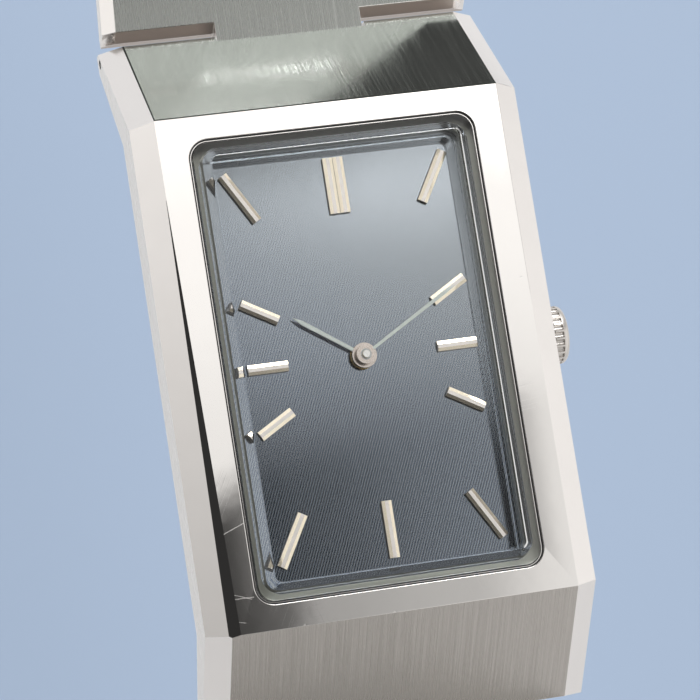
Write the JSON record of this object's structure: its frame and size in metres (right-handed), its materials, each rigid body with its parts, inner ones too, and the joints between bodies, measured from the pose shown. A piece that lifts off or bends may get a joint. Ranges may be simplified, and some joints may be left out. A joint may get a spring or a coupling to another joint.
{
  "type": "rectangular automatic wristwatch",
  "caption": "Rectangular steel wristwatch with sloping lugs, bevelled crystal, ribbed slate blue dial, baton markers and hands, fluted crown and integrated link bracelet laid out flat.",
  "frame": {"origin": "centre of the case back's outer face, on the axis of the hands", "axes": "+X to 3 o'clock and the crown, +Y to 12 o'clock, +Z out of the dial; the watch lies on z = 0"},
  "size_m": [0.0296, 0.1731, 0.0113],
  "materials": {
    "case_steel": "polished frame and bevels, brushed lugs",
    "crystal": "clear",
    "gasket": "matte",
    "dial": "ribbed, slate blue",
    "applied": "faceted, polished",
    "hands": "polished",
    "crown_steel": "fluted, polished end",
    "bracelet_steel": "brushed with polished bevels",
    "pin_steel": "satin",
    "movement_nickel": "satin nickel",
    "wheel_brass": "gilt",
    "movement_steel": "satin",
    "screws": "polished",
    "ring_steel": "satin"
  },
  "bodies": {
    "case": {"case_body": "case_steel", "crystal": "crystal", "crystal_gasket": "gasket", "dial": "dial", "hour_markers": "applied", "main_plate": "movement_nickel", "train_bridge": "movement_nickel", "pallet_bridge": "movement_nickel", "balance_cock": "movement_nickel", "automatic_bridge": "movement_nickel", "bridge_screws": "screws", "rotor_axle": "movement_steel", "movement_ring": "ring_steel", "casing_clamps": "movement_steel", "casing_screws": "screws", "case_back": "case_steel", "back_gasket": "gasket", "back_screws": "screws", "crown_tube": "movement_steel", "lug_pins": "pin_steel"},
    "minute": {"minute_hand": "hands", "cannon_pinion": "movement_steel", "centre_wheel": "wheel_brass"},
    "hour": {"hour_hand": "hands", "hour_wheel": "wheel_brass"},
    "minute_wheel": {"minute_wheel": "wheel_brass"},
    "third_wheel": {"third_wheel": "wheel_brass"},
    "fourth_wheel": {"fourth_wheel": "wheel_brass"},
    "escape_wheel": {"escape_wheel": "movement_steel"},
    "barrel": {"barrel": "wheel_brass", "barrel_cover": "wheel_brass", "mainspring": "movement_steel"},
    "barrel_arbor": {"barrel_arbor": "movement_steel"},
    "pallet_fork": {"pallet_fork": "movement_steel"},
    "balance": {"balance_wheel": "wheel_brass", "hairspring": "movement_steel"},
    "rotor": {"rotor": "movement_nickel"},
    "setting_lever": {"setting_lever": "movement_steel"},
    "crown": {"crown": "crown_steel", "winding_stem": "movement_steel"},
    "upper_link_1": {"upper_link_1": "bracelet_steel", "upper_link_pin_1": "pin_steel"},
    "upper_link_2": {"upper_link_2": "bracelet_steel", "upper_link_pin_2": "pin_steel"},
    "upper_link_3": {"upper_link_3": "bracelet_steel", "upper_link_pin_3": "pin_steel"},
    "upper_link_4": {"upper_link_4": "bracelet_steel", "upper_link_pin_4": "pin_steel"},
    "clasp": {"clasp_base": "bracelet_steel", "clasp_pin": "pin_steel"},
    "clasp_cover": {"clasp_cover": "bracelet_steel"},
    "lower_link_1": {"lower_link_1": "bracelet_steel", "lower_link_pin_1": "pin_steel"},
    "lower_link_2": {"lower_link_2": "bracelet_steel", "lower_link_pin_2": "pin_steel"},
    "lower_link_3": {"lower_link_3": "bracelet_steel", "lower_link_pin_3": "pin_steel"},
    "lower_link_4": {"lower_link_4": "bracelet_steel", "lower_link_pin_4": "pin_steel"},
    "clasp_bar": {"clasp_bar": "bracelet_steel"}
  },
  "joints": [
    {"name": "minute_turn", "type": "hinge", "parent": "case", "child": "minute", "pos_m": [0, 0, 0.009], "axis": [0, 0, -1], "continuous": true},
    {"name": "hour_turn", "type": "hinge", "parent": "case", "child": "hour", "pos_m": [0, 0, 0.009], "axis": [0, 0, -1], "continuous": true},
    {"name": "minute_wheel_turn", "type": "hinge", "parent": "case", "child": "minute_wheel", "pos_m": [0.0024, 0, 0.0075], "axis": [0, 0, -1], "continuous": true},
    {"name": "third_wheel_turn", "type": "hinge", "parent": "case", "child": "third_wheel", "pos_m": [-0.00257, 0.00148, 0.005], "axis": [0, 0, -1], "continuous": true},
    {"name": "fourth_wheel_turn", "type": "hinge", "parent": "case", "child": "fourth_wheel", "pos_m": [-0.00438, -0.00066, 0.005], "axis": [0, 0, -1], "continuous": true},
    {"name": "escape_wheel_turn", "type": "hinge", "parent": "case", "child": "escape_wheel", "pos_m": [-0.00528, -0.00314, 0.005], "axis": [0, 0, -1], "continuous": true},
    {"name": "barrel_turn", "type": "hinge", "parent": "case", "child": "barrel", "pos_m": [0.0021, 0.00364, 0.005], "axis": [0, 0, -1], "continuous": true},
    {"name": "barrel_arbor_turn", "type": "hinge", "parent": "case", "child": "barrel_arbor", "pos_m": [0.0021, 0.00364, 0.005], "axis": [0, 0, -1], "continuous": true},
    {"name": "pallet_fork_rock", "type": "hinge", "parent": "case", "child": "pallet_fork", "pos_m": [-0.00292, -0.00424, 0.005], "axis": [0, 0, -1], "range_deg": [-4, 4]},
    {"name": "balance_swing", "type": "hinge", "parent": "case", "child": "balance", "pos_m": [-0.00015, -0.00525, 0.004], "axis": [0, 0, -1], "range_deg": [-150, 150], "stiffness_Nm_per_rad": 0.000001, "deforming": ["hairspring"]},
    {"name": "rotor_turn", "type": "hinge", "parent": "case", "child": "rotor", "pos_m": [0, 0, 0.002], "axis": [0, 0, -1], "continuous": true},
    {"name": "crown_pull", "type": "slide", "parent": "case", "child": "setting_lever", "axis": [1, 0, 0], "range_m": [0, 0.0008]},
    {"name": "crown_turn", "type": "hinge", "parent": "setting_lever", "child": "crown", "pos_m": [0, 0, 0.0069], "axis": [1, 0, 0], "continuous": true},
    {"name": "upper_link_1_fold", "type": "hinge", "parent": "case", "child": "upper_link_1", "pos_m": [0, 0.02475, 0.001], "axis": [-1, 0, 0], "range_deg": [-5, 35]},
    {"name": "upper_link_2_fold", "type": "hinge", "parent": "upper_link_1", "child": "upper_link_2", "pos_m": [0, 0.03575, 0.001], "axis": [-1, 0, 0], "range_deg": [-5, 35]},
    {"name": "upper_link_3_fold", "type": "hinge", "parent": "upper_link_2", "child": "upper_link_3", "pos_m": [0, 0.04675, 0.001], "axis": [-1, 0, 0], "range_deg": [-5, 35]},
    {"name": "upper_link_4_fold", "type": "hinge", "parent": "upper_link_3", "child": "upper_link_4", "pos_m": [0, 0.05775, 0.001], "axis": [-1, 0, 0], "range_deg": [-5, 35]},
    {"name": "clasp_fold", "type": "hinge", "parent": "upper_link_4", "child": "clasp", "pos_m": [0, 0.06875, 0.001], "axis": [-1, 0, 0], "range_deg": [-5, 35]},
    {"name": "clasp_cover_open", "type": "hinge", "parent": "clasp", "child": "clasp_cover", "pos_m": [0, 0.0936, 0.0019], "axis": [-1, 0, 0], "range_deg": [0, 90]},
    {"name": "lower_link_1_fold", "type": "hinge", "parent": "case", "child": "lower_link_1", "pos_m": [0, -0.02475, 0.001], "axis": [1, 0, 0], "range_deg": [-5, 35]},
    {"name": "lower_link_2_fold", "type": "hinge", "parent": "lower_link_1", "child": "lower_link_2", "pos_m": [0, -0.03575, 0.001], "axis": [1, 0, 0], "range_deg": [-5, 35]},
    {"name": "lower_link_3_fold", "type": "hinge", "parent": "lower_link_2", "child": "lower_link_3", "pos_m": [0, -0.04675, 0.001], "axis": [1, 0, 0], "range_deg": [-5, 35]},
    {"name": "lower_link_4_fold", "type": "hinge", "parent": "lower_link_3", "child": "lower_link_4", "pos_m": [0, -0.05775, 0.001], "axis": [1, 0, 0], "range_deg": [-5, 35]},
    {"name": "clasp_bar_fold", "type": "hinge", "parent": "lower_link_4", "child": "clasp_bar", "pos_m": [0, -0.06875, 0.001], "axis": [1, 0, 0], "range_deg": [-5, 35]}
  ],
  "couplings": [
    {"joint": "hour_turn", "follows": "minute_turn", "ratio": 0.083333},
    {"joint": "minute_wheel_turn", "follows": "minute_turn", "ratio": -0.33333},
    {"joint": "third_wheel_turn", "follows": "minute_turn", "ratio": -8},
    {"joint": "fourth_wheel_turn", "follows": "minute_turn", "ratio": 60},
    {"joint": "escape_wheel_turn", "follows": "minute_turn", "ratio": -600},
    {"joint": "barrel_turn", "follows": "minute_turn", "ratio": -0.16667}
  ]
}
